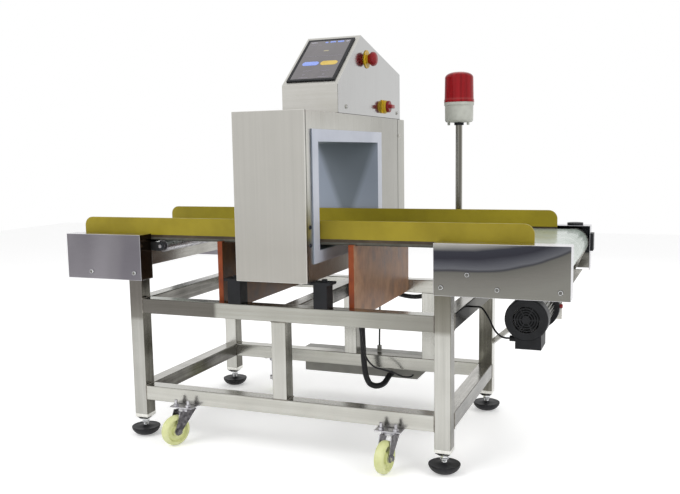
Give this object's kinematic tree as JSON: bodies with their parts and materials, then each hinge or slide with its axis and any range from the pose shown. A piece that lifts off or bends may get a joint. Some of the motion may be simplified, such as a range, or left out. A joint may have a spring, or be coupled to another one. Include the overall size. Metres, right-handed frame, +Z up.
{
  "type": "conveyor metal detector",
  "caption": "Belt conveyor on a stainless tube frame with a tunnel search head, sloped touch-screen box, red beacon and under-slung gearmotor.",
  "frame": {"origin": "centre of the front left levelling foot's sole, on the floor", "axes": "+X along the belt from infeed to outfeed, +Y from the operator's side to the back, +Z up"},
  "size_m": [1.706, 1.0857, 1.367],
  "materials": {
    "steel_satin": "satin ground stainless tube",
    "steel_polished": "polished folded stainless sheet",
    "steel_brushed": "brushed stainless sheet, grain along the long side",
    "steel_zinc": "bright pressed steel",
    "iron_dark": "dark machined iron",
    "belt_pvc": "smooth pale green-grey PVC belt",
    "bakelite": "red-brown phenolic board with a visible cut edge",
    "guide_plastic": "olive-yellow bar plastic",
    "black_coat": "black coated metal",
    "black_plastic": "black moulded plastic",
    "liner_plastic": "white-blue sheet plastic",
    "copper_coil": "varnished copper winding",
    "screen_glass": "dark glass over a display",
    "switch_yellow": "yellow switch plastic",
    "switch_red": "red switch plastic",
    "beacon_grey": "warm grey moulded plastic",
    "lens_red": "clear red ribbed plastic",
    "reflector_metal": "metallised reflector",
    "motor_alloy": "cast aluminium",
    "grey_coat": "grey coated sheet",
    "cable_rubber": "black cable jacket",
    "foot_plastic": "black moulded foot pad",
    "wheel_nylon": "pale yellow-green nylon"
  },
  "bodies": {
    "frame": {"frame_legs": "steel_satin", "front_rails": "steel_satin", "rear_rails": "steel_satin", "cross_rails": "steel_satin", "leg_plugs": "steel_satin", "caster_mounts": "steel_zinc", "infeed_side_plates": "steel_polished", "outfeed_side_plates": "steel_polished", "plate_screws": "steel_zinc", "belt_bearings": "iron_dark", "conveyor_belt": "belt_pvc", "bed_board": "bakelite", "bed_brackets": "steel_satin", "guide_rails": "guide_plastic", "support_panels": "bakelite", "head_mounts": "black_coat", "head_shell": "steel_brushed", "head_covers": "steel_brushed", "tunnel_liner": "liner_plastic", "search_coils": "copper_coil", "control_box": "steel_brushed", "screen_bezel": "black_plastic", "touch_screen": "screen_glass", "switch_bases": "switch_yellow", "beacon_pole": "steel_satin", "beacon_base": "beacon_grey", "beacon_lens": "lens_red", "motor_body": "motor_alloy", "gearbox": "motor_alloy", "drive_chain": "iron_dark", "fan_cover": "black_coat", "terminal_box": "black_coat", "motor_plate": "steel_satin", "chain_casing": "steel_satin", "cable_box": "grey_coat", "harness_hose": "cable_rubber", "beacon_conduit": "cable_rubber", "box_leads": "cable_rubber", "motor_lead": "cable_rubber"},
    "foot_front_left": {"foot_front_left": "foot_plastic"},
    "foot_front_right": {"foot_front_right": "foot_plastic"},
    "foot_rear_left": {"foot_rear_left": "foot_plastic"},
    "foot_rear_right": {"foot_rear_right": "foot_plastic"},
    "fork_front_left": {"fork_front_left": "steel_zinc"},
    "wheel_front_left": {"wheel_front_left": "wheel_nylon"},
    "fork_front_right": {"fork_front_right": "steel_zinc"},
    "wheel_front_right": {"wheel_front_right": "wheel_nylon"},
    "fork_rear_left": {"fork_rear_left": "steel_zinc"},
    "wheel_rear_left": {"wheel_rear_left": "wheel_nylon"},
    "fork_rear_right": {"fork_rear_right": "steel_zinc"},
    "wheel_rear_right": {"wheel_rear_right": "wheel_nylon"},
    "drive_roller": {"drive_roller": "iron_dark"},
    "tail_roller": {"tail_roller": "steel_zinc"},
    "return_roller_infeed": {"return_roller_infeed": "steel_zinc"},
    "return_roller_outfeed": {"return_roller_outfeed": "steel_zinc"},
    "motor_sprocket": {"motor_sprocket": "iron_dark"},
    "motor_fan": {"motor_fan": "black_plastic"},
    "stop_button": {"stop_button": "switch_red"},
    "isolator_handle": {"isolator_handle": "switch_red"},
    "beacon_reflector": {"beacon_reflector": "reflector_metal"}
  },
  "joints": [
    {"name": "foot_front_left_height", "type": "slide", "parent": "frame", "child": "foot_front_left", "axis": [0, 0, 1], "range_m": [-0.025, 0.01]},
    {"name": "foot_front_right_height", "type": "slide", "parent": "frame", "child": "foot_front_right", "axis": [0, 0, 1], "range_m": [-0.025, 0.01]},
    {"name": "foot_rear_left_height", "type": "slide", "parent": "frame", "child": "foot_rear_left", "axis": [0, 0, 1], "range_m": [-0.025, 0.01]},
    {"name": "foot_rear_right_height", "type": "slide", "parent": "frame", "child": "foot_rear_right", "axis": [0, 0, 1], "range_m": [-0.025, 0.01]},
    {"name": "caster_front_left_swivel", "type": "hinge", "parent": "frame", "child": "fork_front_left", "pos_m": [0.183, -0.027, 0.12], "axis": [0, 0, 1], "continuous": true},
    {"name": "caster_front_left_roll", "type": "hinge", "parent": "fork_front_left", "child": "wheel_front_left", "pos_m": [0.16398, -0.06778, 0.0525], "axis": [0.9063, -0.4226, 0], "continuous": true},
    {"name": "caster_front_right_swivel", "type": "hinge", "parent": "frame", "child": "fork_front_right", "pos_m": [0.903, -0.027, 0.12], "axis": [0, 0, 1], "continuous": true},
    {"name": "caster_front_right_roll", "type": "hinge", "parent": "fork_front_right", "child": "wheel_front_right", "pos_m": [0.89674, -0.07156, 0.0525], "axis": [0.9903, -0.1392, 0], "continuous": true},
    {"name": "caster_rear_left_swivel", "type": "hinge", "parent": "frame", "child": "fork_rear_left", "pos_m": [0.183, 0.669, 0.12], "axis": [0, 0, 1], "continuous": true},
    {"name": "caster_rear_left_roll", "type": "hinge", "parent": "fork_rear_left", "child": "wheel_rear_left", "pos_m": [0.20343, 0.6289, 0.0525], "axis": [0.891, 0.454, 0], "continuous": true},
    {"name": "caster_rear_right_swivel", "type": "hinge", "parent": "frame", "child": "fork_rear_right", "pos_m": [0.903, 0.669, 0.12], "axis": [0, 0, 1], "continuous": true},
    {"name": "caster_rear_right_roll", "type": "hinge", "parent": "fork_rear_right", "child": "wheel_rear_right", "pos_m": [0.91081, 0.62468, 0.0525], "axis": [0.9848, 0.1736, 0], "continuous": true},
    {"name": "belt_drive", "type": "hinge", "parent": "frame", "child": "drive_roller", "pos_m": [1.369, 0.321, 0.6397], "axis": [0, 1, 0], "continuous": true},
    {"name": "tail_roller_spin", "type": "hinge", "parent": "frame", "child": "tail_roller", "pos_m": [-0.221, 0.321, 0.6397], "axis": [0, 1, 0], "continuous": true},
    {"name": "return_roller_infeed_spin", "type": "hinge", "parent": "frame", "child": "return_roller_infeed", "pos_m": [0.065, 0.321, 0.6537], "axis": [0, 1, 0], "continuous": true},
    {"name": "return_roller_outfeed_spin", "type": "hinge", "parent": "frame", "child": "return_roller_outfeed", "pos_m": [1.075, 0.321, 0.6537], "axis": [0, 1, 0], "continuous": true},
    {"name": "motor_sprocket_spin", "type": "hinge", "parent": "frame", "child": "motor_sprocket", "pos_m": [1.28, 0.321, 0.455], "axis": [0, 1, 0], "continuous": true},
    {"name": "motor_fan_spin", "type": "hinge", "parent": "frame", "child": "motor_fan", "pos_m": [1.28, 0.175, 0.455], "axis": [0, 1, 0], "continuous": true},
    {"name": "stop_press", "type": "slide", "parent": "frame", "child": "stop_button", "axis": [-1, 0, 0], "range_m": [0, 0.006], "stiffness_N_per_m": 1000},
    {"name": "isolator_turn", "type": "hinge", "parent": "frame", "child": "isolator_handle", "pos_m": [0.658, 0.694, 1.131], "axis": [1, 0, 0], "range_deg": [0, 90]},
    {"name": "beacon_turn", "type": "hinge", "parent": "frame", "child": "beacon_reflector", "pos_m": [0.943, 0.695, 1.137], "axis": [0, 0, 1], "continuous": true}
  ],
  "couplings": [
    {"joint": "tail_roller_spin", "follows": "belt_drive", "ratio": 1},
    {"joint": "return_roller_infeed_spin", "follows": "belt_drive", "ratio": -2.1268},
    {"joint": "return_roller_outfeed_spin", "follows": "belt_drive", "ratio": -2.1268},
    {"joint": "motor_sprocket_spin", "follows": "belt_drive", "ratio": 1},
    {"joint": "motor_fan_spin", "follows": "belt_drive", "ratio": 15}
  ]
}
